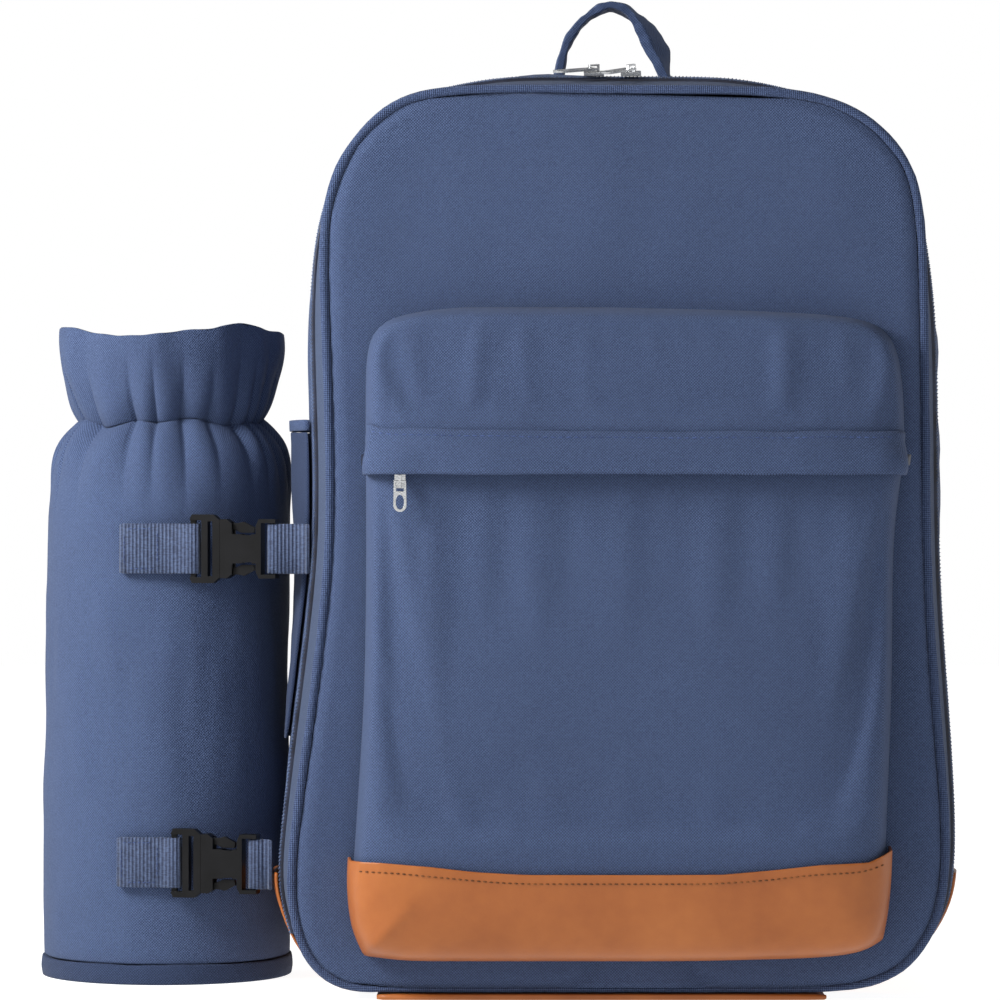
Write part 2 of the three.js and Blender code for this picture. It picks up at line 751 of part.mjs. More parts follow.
// Holder base and the binding round it
function holderRing(rows) {
  return loopSolid(holderTurns, rows.length, (i, k) => {
    const [x, y] = holderPoint(i, 5, rows[k].r);
    return rows[k].r === 0 ? [holderX, holderY, rows[k].z] : [x, y, rows[k].z];
  });
}
addMesh('holder_base', holderRing([
  { r: 0, z: 0 },
  { r: 55.4, z: 0 },
  { r: 55.4, z: 3 },
  { r: 0, z: 3 },
]), deepBlue);
addMesh('holder_binding', holderRing([
  { r: 55.8, z: 0 },
  { r: 59.4, z: 0 },
  { r: 60, z: 4.5 },
  { r: 59.4, z: 9 },
  { r: 55.8, z: 9 },
  { r: 55.8, z: 0 },
]), navy);

// Webbing seen from above, drawn as a plan and raised to the webbing width
function planSolid(points, low, height) {
  const shape = new THREE.Shape(points.map(([x, y]) => new THREE.Vector2(x, y)));
  const solid = new THREE.ExtrudeGeometry(shape, { depth: height, bevelEnabled: false });
  return solid.translate(0, 0, low);
}

// The two straps that tie the holder to the pack, each with a fastened side-release buckle
const straps = [
  { name: 'upper', z: upperStrapZ, patchLeft: -226.4, start: -193.4, radius: 58.4 },
  { name: 'lower', z: lowerStrapZ, patchLeft: -227.5, start: -202, radius: 60 },
];
const buckle = { frame: 14, mouth: 14.4, end: 40.3, halfHeight: 15.5 };

function halfShape(points, holes, depth) {
  const shape = new THREE.Shape(points.map(([x, y]) => new THREE.Vector2(x, y)));
  for (const [x0, x1, y0, y1] of holes) {
    shape.holes.push(new THREE.Path([[x0, y0], [x0, y1], [x1, y1], [x1, y0]].map(([x, y]) =>
      new THREE.Vector2(x, y))));
  }
  const solid = new THREE.ExtrudeGeometry(shape, { depth, bevelEnabled: false });
  return solid.translate(0, 0, -depth / 2);
}

function mirrored(points) {
  return points.concat(points.slice().reverse().map(([x, y]) => [x, -y]));
}

function maleBuckle() {
  const h = buckle.halfHeight;
  const frame = halfShape(mirrored([[0, h - 2], [1, h], [11, h], [buckle.frame, h - 2.5]]).reverse(), [
    [2.4, 5.4, 2.6 - h, h - 2.7],
    [8.4, 10.6, 3.1 - h, h - 3.2],
  ], 4.6);
  const tongue = boxFrom(13, 25, -3, 3, -1.4, 1.4);
  const arms = [-1, 1].map((side) => halfShape([
    [13, side * 8.6], [21, side * 8.6], [24, side * 7.2], [29.6, side * 7.2], [30, side * 9.6],
    [25, side * 12.2], [22.4, side * 11.6], [13, side * 11.6],
  ], [], 2.8));
  return join(frame, tongue, ...arms);
}

function femaleBuckle() {
  const outline = mirrored([
    [buckle.mouth, 13.2], [17.5, 13.4], [21.5, 10.4], [24.5, 6.3], [29, 6], [31, 10], [32.6, 13.4],
    [buckle.end, 13.3],
  ]).reverse();
  const body = halfShape(outline, [[33.6, 37.5, -11.6, 11.6]], buckleThickness - 1);
  const room = boxFrom(10, 26, -12.2, 12.2, -1.8, 1.8);
  const sides = [-1, 1].map((side) => boxFrom(20, 31.2, side > 0 ? 6.6 : -16, side > 0 ? 16 : -6.6, -6, 6));
  return cut(body, room, ...sides);
}

const strapTurn = -0.22;
const strapSwing = Math.atan(strapTurn);
for (const strap of straps) {
  const low = strap.z - webWidth / 2;
  const inner = strap.radius + 0.4;
  const outer = inner + 2 * webThickness;
  const arc = (radius, from, to, count) => {
    const list = [];
    for (let n = 0; n <= count; n++) {
      const x = mix(from, to, n / count) - holderX;
      list.push([holderX + x, holderY - Math.sqrt(radius ** 2 - x ** 2)]);
    }
    return list;
  };
  const origin = [strap.start, holderY - (inner + outer) / 2 + strapTurn * (strap.start - holderX)];
  const place = (u, w) => [
    origin[0] + u * Math.cos(strapSwing) + w * Math.sin(strapSwing),
    origin[1] + u * Math.sin(strapSwing) - w * Math.cos(strapSwing),
  ];
  const eye = (bar, way) => [[bar - 5 * way, 1.5], [bar - 2.6 * way, 2.9], [bar + 1.6 * way, 2.9],
    [bar + 3 * way, 1.6], [bar + 3 * way, -1.6], [bar + 1.6 * way, -2.9], [bar - 2.6 * way, -2.9],
    [bar - 5 * way, -1.5]].map(([u, w]) => place(u, w));
  const eyeHole = (bar) => [[bar - 1.8, -1.4], [bar + 1.7, -1.5], [bar + 1.8, 1.4], [bar - 1.7, 1.5]]
    .map(([u, w]) => place(u, w));
  const webbing = (outline, hole) => cut(planSolid(outline, low, webWidth), planSolid(hole, low - 5, 40));
  const loopOutline = arc(outer, strap.patchLeft, holderX, 4)
    .concat(eye(1.2, 1))
    .concat(arc(inner, strap.patchLeft, holderX, 4).reverse());
  addMesh(`${strap.name}_strap_loop`, webbing(loopOutline, eyeHole(1.2)), deepBlue);
  const standing = (geometry) => geometry.rotateX(Math.PI / 2).rotateZ(strapSwing)
    .translate(origin[0], origin[1], strap.z);
  const thinBar = boxFrom(-3, 5.4, -webWidth, webWidth, 1.1, 6);
  const thinBack = boxFrom(-3, 5.4, -webWidth, webWidth, -6, -1.1);
  const clearEye = [thinBar, thinBack].map((box) => keepIn(box, boxFrom(-3, 5.4, -12.9, 12.9, -6, 6)));
  addMesh(`${strap.name}_buckle_male`, standing(cut(maleBuckle(), ...clearEye)), black);
  const farBar = [[1.1, 6], [-6, -1.1]].map(([z0, z1]) => boxFrom(33.7, 43, -11.55, 11.55, z0, z1));
  addMesh(`${strap.name}_buckle_female`, standing(cut(femaleBuckle(), ...farBar)), black);
  // Webbing from the far bar to the seam behind the zip, its end turned forward on the skin
  const side = Math.max(...[low, strap.z, low + webWidth].map((z) => -sideX(-34, z, -1)));
  const lift = strap.name === 'lower' ? leatherStandoff + leather + gap : gap;
  const end = [-side - lift - 1.1, origin[1] + (strap.start + side) * -strapTurn];
  const tailOutline = eye(38.9, -1)
    .concat([[end[0] + 0.6, end[1] + 0.9], [end[0] + 0.6, end[1] - 5], [end[0] - 0.9, end[1] - 5],
      [end[0] - 0.9, end[1] - 1]]);
  addMesh(`${strap.name}_strap_tail`, webbing(tailOutline, eyeHole(38.9)), deepBlue);
}

// Strip along a centre path: rows give place, half width and thickness; side is the width direction
function pathStrip(rows, steps, across, sideOf) {
  const curve = new THREE.CatmullRomCurve3(rows.map((row) => new THREE.Vector3(row.x, row.y, row.z)));
  const stations = [];
  for (let n = 0; n <= steps; n++) {
    const share = n / steps;
    const at = share * (rows.length - 1);
    const k = Math.min(rows.length - 2, Math.floor(at));
    const side = sideOf(share);
    const tangent = curve.getTangent(share);
    const face = side.clone().cross(tangent).normalize();
    stations.push({
      centre: curve.getPoint(share),
      side,
      face,
      half: mix(rows[k].half, rows[k + 1].half, at - k),
      thick: mix(rows[k].thick, rows[k + 1].thick, at - k),
    });
  }
  return mappedBox(across, 1, steps, (a, t, h) => {
    const here = stations[Math.round(h * steps)];
    const edge = 1 - 0.35 * Math.abs(2 * a - 1) ** 4;
    const point = here.centre.clone();
    point.addScaledVector(here.side, (2 * a - 1) * here.half);
    point.addScaledVector(here.face, (t - 0.5) * here.thick * edge);
    return [point.x, point.y, point.z];
  });
}

// Folded handle standing on the top of the pack, twisted towards its right foot
const handleFoot = panelFoot + panelHeight + skinOffset(0, 16) + 0.8;
const handleRows = [
  { x: -0.536, rise: 0, half: 1, thick: 1.08 },
  { x: -0.48, rise: 0.44, half: 1, thick: 1 },
  { x: -0.34, rise: 0.77, half: 0.95, thick: 1 },
  { x: -0.12, rise: 1, half: 0.95, thick: 1 },
  { x: 0.05, rise: 0.988, half: 0.9, thick: 1.04 },
  { x: 0.252, rise: 0.77, half: 0.85, thick: 1.2 },
  { x: 0.39, rise: 0.408, half: 0.8, thick: 1.4 },
  { x: 0.46, rise: 0, half: 0.9, thick: 1.4 },
].map((row) => ({
  x: row.x * handleSpan,
  y: handleY,
  z: handleFoot + row.rise * handleRise,
  half: row.half * handleHalfWidth,
  thick: row.thick * handleThickness,
}));
addMesh('grab_handle', pathStrip(handleRows, 16, 2, (share) => {
  const twist = 0.55 * step(0.55, 0.8, share) * (1 - step(0.85, 1, share));
  return new THREE.Vector3(Math.sin(twist), Math.cos(twist), 0);
}), deepBlue);

// Padded shoulder straps on the back, each with a lower web, a ladder lock and a sewn tab
const backFaceY = backEdgeY + gap + backPanelThickness + 1.6;
for (const [name, side] of [['left', -1], ['right', 1]]) {
  const padRows = [
    { x: 0.28, bow: 0.13, z: 0.982, half: 0.96, thick: 0.9 },
    { x: 0.28, bow: 0.172, z: 0.931, half: 1, thick: 0.9 },
    { x: 0.294, bow: 0.52, z: 0.85, half: 1.03, thick: 1 },
    { x: 0.336, bow: 0.934, z: 0.727, half: 1, thick: 1 },
    { x: 0.427, bow: 1, z: 0.574, half: 0.9, thick: 1 },
    { x: 0.5245, bow: 0.693, z: 0.4235, half: 0.6, thick: 0.8 },
  ].map((row) => ({
    x: row.x * panelHalfWidth * side,
    y: backFaceY + row.bow * padBow,
    z: row.z * panelHeight,
    half: row.half * padHalfWidth,
    thick: row.thick * padThickness,
  }));
  const flat = () => new THREE.Vector3(1, 0, 0);
  addMesh(`shoulder_pad_${name}`, pathStrip(padRows, 12, 4, flat), deepBlue);
  const lock = boxFrom(-15, 15, -2.2, 2.2, -10, 10);
  const slots = [[-6.9, -3.4], [3.2, 6.8]].map(([z0, z1]) => boxFrom(-12.6, 12.6, -9, 9, z0, z1));
  const lockPlace = [0.542 * panelHalfWidth * side, backFaceY + 0.607 * padBow, 0.3852 * panelHeight];
  addMesh(`ladder_lock_${name}`, cut(lock, ...slots).translate(...lockPlace), black);
  const webRows = [
    { x: 0.5525, bow: 0.538, z: 0.358 },
    { x: 0.6154, bow: 0.383, z: 0.2806 },
    { x: 0.7273, bow: 0.124, z: 0.158 },
    { x: 0.7622, bow: 0.11, z: 0.102 },
  ].map((row) => ({
    x: row.x * panelHalfWidth * side,
    y: backFaceY + row.bow * padBow,
    z: row.z * panelHeight,
    half: lowerWebHalf,
    thick: lowerWebThickness,
  }));
  addMesh(`lower_web_${name}`, pathStrip(webRows, 6, 1, flat), deepBlue);
  const tab = boxFrom(-15, 15, 0, 1.8, -18, 18);
  const tabPlace = [0.748 * panelHalfWidth * side, backFaceY + gap, 0.1148 * panelHeight];
  addMesh(`anchor_tab_${name}`, tab.translate(...tabPlace), blue);
}

export default root;
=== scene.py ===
# %% [markdown]
# # A blue cooler backpack with a bottle holder
# The solids are loaded first. They give every piece its place, so the cloth, webbing and
# metal made below only have to follow them. Lengths are in metres, the front is towards -Y.

# %% Load the solids
import math

import bmesh
import bpy
from mathutils import Matrix, Vector, noise
from mathutils.bvhtree import BVHTree


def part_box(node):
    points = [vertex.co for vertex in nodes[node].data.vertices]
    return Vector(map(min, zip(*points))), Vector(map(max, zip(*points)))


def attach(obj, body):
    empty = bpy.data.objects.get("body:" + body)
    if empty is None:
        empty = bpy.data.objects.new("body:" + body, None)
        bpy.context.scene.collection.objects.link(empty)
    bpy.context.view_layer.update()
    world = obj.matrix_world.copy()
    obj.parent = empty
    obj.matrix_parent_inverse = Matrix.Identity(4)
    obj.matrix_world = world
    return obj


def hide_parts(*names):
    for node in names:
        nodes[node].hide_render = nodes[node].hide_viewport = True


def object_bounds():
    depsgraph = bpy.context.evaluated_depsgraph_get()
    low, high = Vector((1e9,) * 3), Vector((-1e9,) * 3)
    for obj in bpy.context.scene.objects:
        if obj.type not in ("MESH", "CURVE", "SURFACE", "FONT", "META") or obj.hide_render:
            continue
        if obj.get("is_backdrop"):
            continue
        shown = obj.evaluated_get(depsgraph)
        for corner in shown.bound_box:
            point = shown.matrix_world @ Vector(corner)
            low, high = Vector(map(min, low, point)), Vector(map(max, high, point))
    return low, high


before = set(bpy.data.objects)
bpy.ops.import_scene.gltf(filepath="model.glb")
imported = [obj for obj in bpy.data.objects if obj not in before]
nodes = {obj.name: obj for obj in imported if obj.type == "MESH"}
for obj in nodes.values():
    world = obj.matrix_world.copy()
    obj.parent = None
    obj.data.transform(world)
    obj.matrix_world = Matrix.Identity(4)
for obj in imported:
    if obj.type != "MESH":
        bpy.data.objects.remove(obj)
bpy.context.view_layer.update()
MM = 0.001

# %% [markdown]
# ## Camera
# The photograph is a straight front view from about two metres, at half the height of the
# pack. A long lens keeps the sides parallel, and a little of the bottle holder's floor shows.

# %% Camera
PIXEL = 0.44 * MM
PICTURE_WIDTH = 1000
DISTANCE = 2.0
SENSOR = 36
eye = Vector((-0.0537, -2.076, 0.22))
camera_data = bpy.data.cameras.new("front_camera")
camera_data.sensor_width = SENSOR
camera_data.lens = SENSOR * DISTANCE / (PICTURE_WIDTH * PIXEL)
camera = bpy.data.objects.new("front_camera", camera_data)
camera.location = eye
camera.rotation_euler = (math.radians(90), 0, 0)
bpy.context.scene.collection.objects.link(camera)
bpy.context.scene.camera = camera
print("lens", round(camera_data.lens, 1), "mm")

# %% [markdown]
# ## Floor and light
# The pack stands on a pale plain floor in a white room. One soft light stands close on the
# left, as the light side of the cloth tells: it grazes the front, so every swell shows and the
# right side falls off. Weaker ones fill the front and the top.

# %% Floor and light
def pale_floor():
    bm = bmesh.new()
    bmesh.ops.create_circle(bm, cap_ends=True, segments=64, radius=4)
    mesh = bpy.data.meshes.new("pale_floor")
    bm.to_mesh(mesh)
    bm.free()
    floor = bpy.data.objects.new("pale_floor", mesh)
    bpy.context.scene.collection.objects.link(floor)
    paint = bpy.data.materials.new("pale_paint")
    paint.use_nodes = True
    shader = paint.node_tree.nodes["Principled BSDF"]
    shader.inputs["Base Color"].default_value = (0.3, 0.3, 0.3, 1)
    shader.inputs["Roughness"].default_value = 0.9
    shader.inputs["Emission Color"].default_value = (1, 1, 1, 1)
    shader.inputs["Emission Strength"].default_value = 0.93
    mesh.materials.append(paint)
    floor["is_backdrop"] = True


def soft_light(name, place, aim, size, power):
    data = bpy.data.lights.new(name, "AREA")
    data.shape = "DISK"
    data.size = size
    data.energy = power
    light = bpy.data.objects.new(name, data)
    light.location = place
    light.rotation_euler = (Vector(aim) - Vector(place)).to_track_quat("-Z", "Y").to_euler()
    bpy.context.scene.collection.objects.link(light)


pale_floor()
soft_light("key_left", (-0.8, -0.42, 0.64), (0, 0, 0.2), 0.4, 14.5)
soft_light("fill_front", (0.3, -1.9, 0.9), (0, 0, 0.2), 1.0, 3)
soft_light("top_back", (0.1, 0.5, 1.7), (0, 0, 0.25), 1.0, 4)
world = bpy.data.worlds.new("white_room")
bpy.context.scene.world = world
world.use_nodes = True
sky = world.node_tree.nodes
direction = sky.new("ShaderNodeTexCoord")
height = sky.new("ShaderNodeSeparateXYZ")
walls = sky.new("ShaderNodeMapRange")
walls.inputs["From Min"].default_value = 0.14
walls.inputs["From Max"].default_value = 0.34
walls.inputs["To Min"].default_value = 1.0
walls.inputs["To Max"].default_value = 0.22
world.node_tree.links.new(direction.outputs["Generated"], height.inputs[0])
world.node_tree.links.new(height.outputs["Z"], walls.inputs["Value"])
world.node_tree.links.new(walls.outputs["Result"], sky["Background"].inputs["Strength"])
sky["Background"].inputs["Color"].default_value = (1, 1, 1, 1)
bpy.context.scene.view_settings.view_transform = "Standard"
print("stage ready")

# %% [markdown]
# ## Finishes
# The cloth is a plain polyester weave: where two threads cross, each lies on top in turn, so
# it shows as a fine check. Two waves multiplied give the check, laid along the cloth by a UV
# map. Two stretched noises, one for the upright threads and one for the level ones, keep the
# threads from being alike, and a slow noise makes the dye a little uneven.

# %% A small kit for shader nodes
def linear(hexa):
    parts = [int(hexa[n:n + 2], 16) / 255 for n in (1, 3, 5)]
    return tuple(c / 12.92 if c <= 0.04045 else ((c + 0.055) / 1.055) ** 2.4 for c in parts) + (1,)


class Finish:
    def __init__(self, name, roughness, **sockets):
        self.material = bpy.data.materials.new(name)
        self.material.use_nodes = True
        self.tree = self.material.node_tree
        self.shader = self.tree.nodes["Principled BSDF"]
        self.shader.inputs["Roughness"].default_value = roughness
        for socket, value in sockets.items():
            self.shader.inputs[socket.replace("_", " ")].default_value = value
        self.place = self.tree.nodes.new("ShaderNodeTexCoord").outputs["Object"]

    def node(self, kind, inputs=(), **settings):
        made = self.tree.nodes.new(kind)
        for key, value in settings.items():
            setattr(made, key, value)
        for key, value in dict(inputs).items():
            if isinstance(value, bpy.types.NodeSocket):
                self.tree.links.new(value, made.inputs[key])
            else:
                made.inputs[key].default_value = value
        return made

    def math(self, operation, a, b=0.0):
        return self.node("ShaderNodeMath", {0: a, 1: b}, operation=operation).outputs[0]

    def noise(self, scale, detail=3.0, place=None):
        inputs = {"Vector": place or self.place, "Scale": scale, "Detail": detail}
        return self.node("ShaderNodeTexNoise", inputs).outputs["Fac"]

    def threads(self, pitch, lying, place=None):
        across = 1 / pitch
        slow = across * 0.34
        spread = (slow, slow, across) if lying else (across, across, slow)
        stretched = self.node("ShaderNodeMapping", {"Vector": place or self.place, "Scale": spread})
        return self.noise(1.0, 1.0, stretched.outputs[0])

    def ramp(self, value, *stops):
        made = self.node("ShaderNodeValToRGB", {"Fac": value})
        band = made.color_ramp
        while len(band.elements) < len(stops):
            band.elements.new(0.5)
        for element, (position, colour) in zip(band.elements, stops):
            element.position = position
            element.color = linear(colour)
        return made.outputs["Color"]

    def bump(self, height, strength, distance):
        made = self.node("ShaderNodeBump", {"Height": height, "Strength": strength, "Distance": distance})
        self.tree.links.new(made.outputs["Normal"], self.shader.inputs["Normal"])

    def colour(self, socket):
        self.tree.links.new(socket, self.shader.inputs["Base Color"])

    def rough(self, value, low, high):
        made = self.node("ShaderNodeMapRange", {"Value": value, "To Min": low, "To Max": high})
        self.tree.links.new(made.outputs["Result"], self.shader.inputs["Roughness"])


def woven(name, dark, light, pitch=1.28 * MM, turned=False, lift=0.5):
    finish = Finish(name, 0.85, Sheen_Weight=0.04, Sheen_Roughness=0.5, Specular_IOR_Level=0.2)
    flat = finish.node("ShaderNodeTexCoord").outputs["UV"]
    u, v = finish.node("ShaderNodeSeparateXYZ", {0: flat}).outputs[:2]
    if turned:
        u, v = finish.math("ADD", u, v), finish.math("SUBTRACT", u, v)
    waves = [finish.math("SINE", finish.math("MULTIPLY", axis, math.tau / pitch)) for axis in (u, v)]
    check = finish.math("MULTIPLY", waves[0], waves[1])
    grain = finish.math("MAXIMUM", finish.threads(0.5 * MM, False), finish.threads(0.5 * MM, True))
    cloud = finish.noise(11, 3)
    shade = finish.math("ADD", finish.math("MULTIPLY", grain, 0.7), finish.math("MULTIPLY", cloud, 0.15))
    shade = finish.math("ADD", shade, finish.math("MULTIPLY", check, 0.36))
    finish.colour(finish.ramp(shade, (0.26, dark), (0.76, light)))
    finish.bump(finish.math("ADD", grain, finish.math("MULTIPLY", check, 0.7)), lift, 0.4 * MM)
    finish.rough(cloud, 0.78, 0.92)
    return finish.material


blue_cloth = woven("blue_weave", "#2a3550", "#4b5b7c")
deep_cloth = woven("deep_blue_weave", "#26314c", "#445474")
navy_cloth = woven("navy_weave", "#1d273f", "#35425e")
tape_cloth = woven("zip_tape", "#29334b", "#4c5972", pitch=0.9 * MM)
piping_cloth = woven("piping_weave", "#25304c", "#4e5e80", pitch=1.8 * MM, turned=True, lift=0.8)
print("cloth finishes made")

# %% [markdown]
# Webbing is woven in ribs across its width. Its finish is one strong wave along the strap and
# a fine one across it. Smooth artificial leather gets a pebble of small cells and a cloudy
# gloss, plastic a fine spark texture, nickel a faint brushed noise.

# %% Webbing, leather, plastic and metal
def ribbed(name, dark, light, axis, pitch=1.7 * MM):
    finish = Finish(name, 0.75, Sheen_Weight=0.1, Specular_IOR_Level=0.35)
    axes = finish.node("ShaderNodeSeparateXYZ", {0: finish.place}).outputs
    rib = finish.math("SINE", finish.math("MULTIPLY", axes[axis], math.tau / pitch))
    fine = finish.threads(0.6 * MM, True)
    shade = finish.math("ADD", finish.math("MULTIPLY", rib, 0.16), fine)
    finish.colour(finish.ramp(shade, (0.28, dark), (0.72, light)))
    finish.bump(finish.math("ADD", rib, finish.math("MULTIPLY", fine, 0.8)), 0.7, 0.3 * MM)
    finish.rough(fine, 0.62, 0.85)
    return finish.material


def smooth_leather(name, dark, middle, light):
    finish = Finish(name, 0.4, Coat_Weight=0.1, Coat_Roughness=0.3, Specular_IOR_Level=0.35)
    pebble = finish.node("ShaderNodeTexVoronoi", {"Vector": finish.place, "Scale": 900.0})
    cells = pebble.outputs["Distance"]
    cloud = finish.noise(26, 4)
    wear = finish.noise(160, 3)
    shade = finish.math("ADD", finish.math("MULTIPLY", cloud, 0.75), finish.math("MULTIPLY", wear, 0.25))
    finish.colour(finish.ramp(shade, (0.3, dark), (0.52, middle), (0.75, light)))
    finish.bump(finish.math("ADD", finish.math("MULTIPLY", cells, 0.5), wear), 0.22, 0.25 * MM)
    finish.rough(wear, 0.36, 0.52)
    return finish.material


def moulded(name, dark, light, roughness=0.45, shine=0.3):
    finish = Finish(name, roughness, Specular_IOR_Level=shine)
    spark = finish.noise(2600, 2)
    finish.colour(finish.ramp(finish.noise(80, 2), (0.3, dark), (0.75, light)))
    finish.bump(spark, 0.25, 0.06 * MM)
    finish.rough(spark, roughness - 0.08, roughness + 0.1)
    return finish.material


def plated(name, dark, light):
    finish = Finish(name, 0.22, Metallic=1.0)
    brushed = finish.node("ShaderNodeMapping", {"Vector": finish.place, "Scale": (1, 1, 9)}).outputs[0]
    grain = finish.noise(900, 3, brushed)
    finish.colour(finish.ramp(grain, (0.3, dark), (0.7, light)))
    finish.bump(grain, 0.08, 0.05 * MM)
    finish.rough(grain, 0.16, 0.34)
    return finish.material


side_web = ribbed("side_webbing", "#1d2740", "#44526f", 0)
back_web = ribbed("back_webbing", "#1d2740", "#3d4a66", 2)
tan_leather = smooth_leather("tan_leather", "#8a4917", "#975420", "#a25e28")
black_plastic = moulded("black_plastic", "#070708", "#101012", 0.4, 0.16)
coil_plastic = moulded("dark_coil", "#0f1220", "#262c40", 0.4)
tooth_plastic = moulded("coil_teeth", "#2c3852", "#5b6a88", 0.35)
nickel = plated("nickel", "#9c9ea1", "#dadbdc")
tan_thread = moulded("tan_thread", "#4e2c11", "#7a4a22", 0.7)
blue_thread = moulded("blue_thread", "#2a3860", "#475a8a", 0.7)
print("hard finishes made")

# %% [markdown]
# ## Working from the solids
# A soft piece starts as a copy of its solid. The copy is welded, its triangles are joined to
# quads, and a subdivision surface rounds the facets away. A UV map lays the threads flat along
# each side of the piece, or round it where it is a tube. Cut edges are creased first, because
# a rim without a crease would draw back and leave its seam. Folds are then pressed into the
# fine mesh by moving points along their normals.

# %% Copies, subdivision and folds
HOLDER_RADIUS = 0.058
SHARP_EDGE = 0.75


def bare_mesh(bm, name):
    mesh = bpy.data.meshes.new(name)
    bm.to_mesh(mesh)
    bm.free()
    for extra in [a.name for a in mesh.attributes if a.name in ("custom_normal", "UVMap")]:
        mesh.attributes.remove(mesh.attributes[extra])
    for face in mesh.polygons:
        face.use_smooth = True
    return mesh


def lay_threads(mesh, wrapped):
    flat = []
    for face in mesh.polygons:
        across, deep, up = (abs(part) for part in face.normal)
        for corner in face.vertices:
            p = mesh.vertices[corner].co
            if wrapped:
                flat += [math.atan2(p.y - wrapped.y, wrapped.x - p.x) * HOLDER_RADIUS, p.z]
            elif up > max(across, deep):
                flat += [p.x, p.y]
            elif across > deep:
                flat += [p.y, p.z]
            else:
                flat += [p.x, p.z]
    mesh.uv_layers.new(name="threads").data.foreach_set("uv", flat)


def add_piece(bm, name, material, slot, *stands_for, body="pack", wrapped=None):
    piece = bpy.data.objects.new(name, bare_mesh(bm, name))
    lay_threads(piece.data, wrapped)
    bpy.context.scene.collection.objects.link(piece)
    piece.data.materials.clear()
    piece.data.materials.append(material)
    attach(piece, body)
    if stands_for:
        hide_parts(*stands_for)
    return piece


def welded(node):
    bm = bmesh.new()
    bm.from_mesh(nodes[node].data)
    bmesh.ops.remove_doubles(bm, verts=bm.verts, dist=0.00001)
    for face in bm.faces:
        face.material_index = 0
    return bm


def refined(bm, levels, quads=True, sharp=0.0):
    if quads:
        bmesh.ops.join_triangles(bm, faces=bm.faces, angle_face_threshold=0.9, angle_shape_threshold=2.6)
    if sharp:
        crease = bm.edges.layers.float.new("crease_edge")
        for edge in bm.edges:
            if len(edge.link_faces) == 2 and edge.calc_face_angle() > SHARP_EDGE:
                edge[crease] = sharp
    holder = bpy.data.objects.new("work", bpy.data.meshes.new("work"))
    bm.to_mesh(holder.data)
    bm.free()
    bpy.context.scene.collection.objects.link(holder)
    surface = holder.modifiers.new("round", "SUBSURF")
    surface.levels = levels
    surface.render_levels = levels
    shape = bpy.context.evaluated_depsgraph_get()
    fine = bmesh.new()
    fine.from_mesh(holder.evaluated_get(shape).to_mesh())
    bpy.data.objects.remove(holder)
    return fine


def press_folds(bm, depth, size, stretch=(1, 1, 1), seed=0.0, where=None):
    bm.normal_update()
    moves = []
    for v in bm.verts:
        p = Vector([v.co[n] * stretch[n] / size for n in range(3)]) + Vector((seed, seed, seed))
        amount = noise.noise(p) + 0.5 * noise.noise(p * 2.1)
        share = where(v.co) if where else 1.0
        moves.append(v.normal * (depth * amount * share))
    for v, move in zip(bm.verts, moves):
        v.co += move


def smooth_share(low, high, value):
    t = min(1.0, max(0.0, (value - low) / (high - low)))
    return t * t * (3 - 2 * t)


def soft_piece(node, material, slot, levels=2, folds=(), sharp=0.9, shape=None, wrapped=None):
    fine = refined(welded(node), levels, sharp=sharp)
    if shape:
        shape(fine)
    for fold in folds:
        press_folds(fine, *fold)
    piece = add_piece(fine, "soft_" + node, material, slot, node, wrapped=wrapped)
    print(piece.name, len(piece.data.polygons), "faces")
    return piece


# %% [markdown]
# Hard pieces keep their solid's shape, but nothing moulded has a knife edge. A copy gets its
# flat faces joined and a small round on each sharp edge.

# %% Rounded hard pieces
def hard_piece(node, material, slot, width=0.3 * MM, body="pack"):
    bm = welded(node)
    bmesh.ops.dissolve_limit(bm, angle_limit=0.03, verts=bm.verts, edges=bm.edges)
    sharp = [e for e in bm.edges if len(e.link_faces) == 2 and e.calc_face_angle() > 0.7]
    bmesh.ops.bevel(bm, geom=sharp, offset=width, offset_type="OFFSET", segments=2, profile=0.5,
                    affect="EDGES", material=-1, clamp_overlap=True)
    piece = add_piece(bm, "hard_" + node, material, slot, node, body=body)
    for face in piece.data.polygons:
        face.use_smooth = False
    return piece


# %% [markdown]
# ## The body of the pack
# The padded wall runs round the pack behind the zip. Its foam makes broad soft swells, with
# smaller puckers where the binding pulls at it.

# %% Padded wall, tape and base
def free_wall(p):
    share = smooth_share(0.065, 0.11, p.z) * smooth_share(-0.036, -0.012, p.y)
    share *= 1 - smooth_share(0.03, 0.054, p.y)
    return share * (0.12 if p.x < -0.12 else 1.0)


gusset = soft_piece("rear_gusset", blue_cloth, "blue_weave", 2,
                    [(1.8 * MM, 0.06, (1, 1, 1), 3.0, free_wall),
                     (0.8 * MM, 0.02, (1, 0.5, 1), 9.0, free_wall)])
soft_piece("front_zip_tape", tape_cloth, "zip_tape", 2)
soft_piece("base_panel", tan_leather, "tan_leather", 2)

# %% [markdown]
# ## Rims of the panels
# The outline of a panel is read from its solid: the rim's corners, put in order round the
# middle. From it come the grids of the panels, the zip teeth and the seams.

# %% Outlines
def rim_loop(node, test, middle):
    found = {}
    for v in nodes[node].data.vertices:
        if test(v.co):
            dx, dz = v.co.x - middle[0], v.co.z - middle[1]
            key = round(math.atan2(dz, dx), 3)
            if key not in found or found[key][0] < math.hypot(dx, dz):
                found[key] = (math.hypot(dx, dz), v.co.copy())
    return [found[key][1] for key in sorted(found)]


